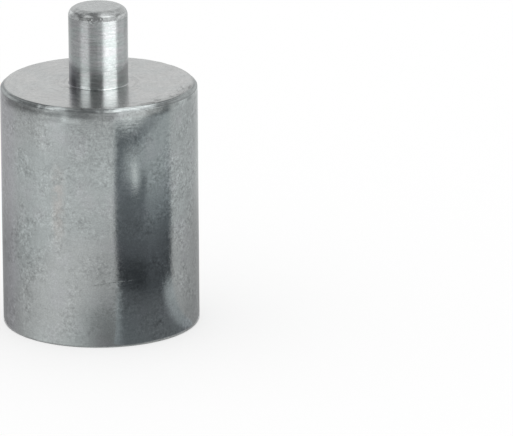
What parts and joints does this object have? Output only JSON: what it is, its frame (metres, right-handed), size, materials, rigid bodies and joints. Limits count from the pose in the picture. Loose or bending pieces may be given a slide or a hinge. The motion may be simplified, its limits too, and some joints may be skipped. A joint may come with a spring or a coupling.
{
  "type": "pot magnet with fitting pin",
  "caption": "Deep cylindrical pot holding magnet: steel pot with an integral plain pin, a non-magnetic spacer ring and a magnet core flush in the holding face.",
  "frame": {"origin": "centre of the magnetic holding face, the plane the magnet stands on", "axes": "+Z along the axis of the pot, up through the pin; X and Y are equivalent, the part is a body of revolution"},
  "size_m": [0.02, 0.02, 0.033],
  "materials": {
    "zinc_plated_steel": "satin",
    "brass_spacer": "satin",
    "magnet_alloy": "satin"
  },
  "bodies": {
    "root": {"pot_body": "zinc_plated_steel", "spacer_ring": "brass_spacer", "magnet_core": "magnet_alloy"}
  },
  "joints": []
}
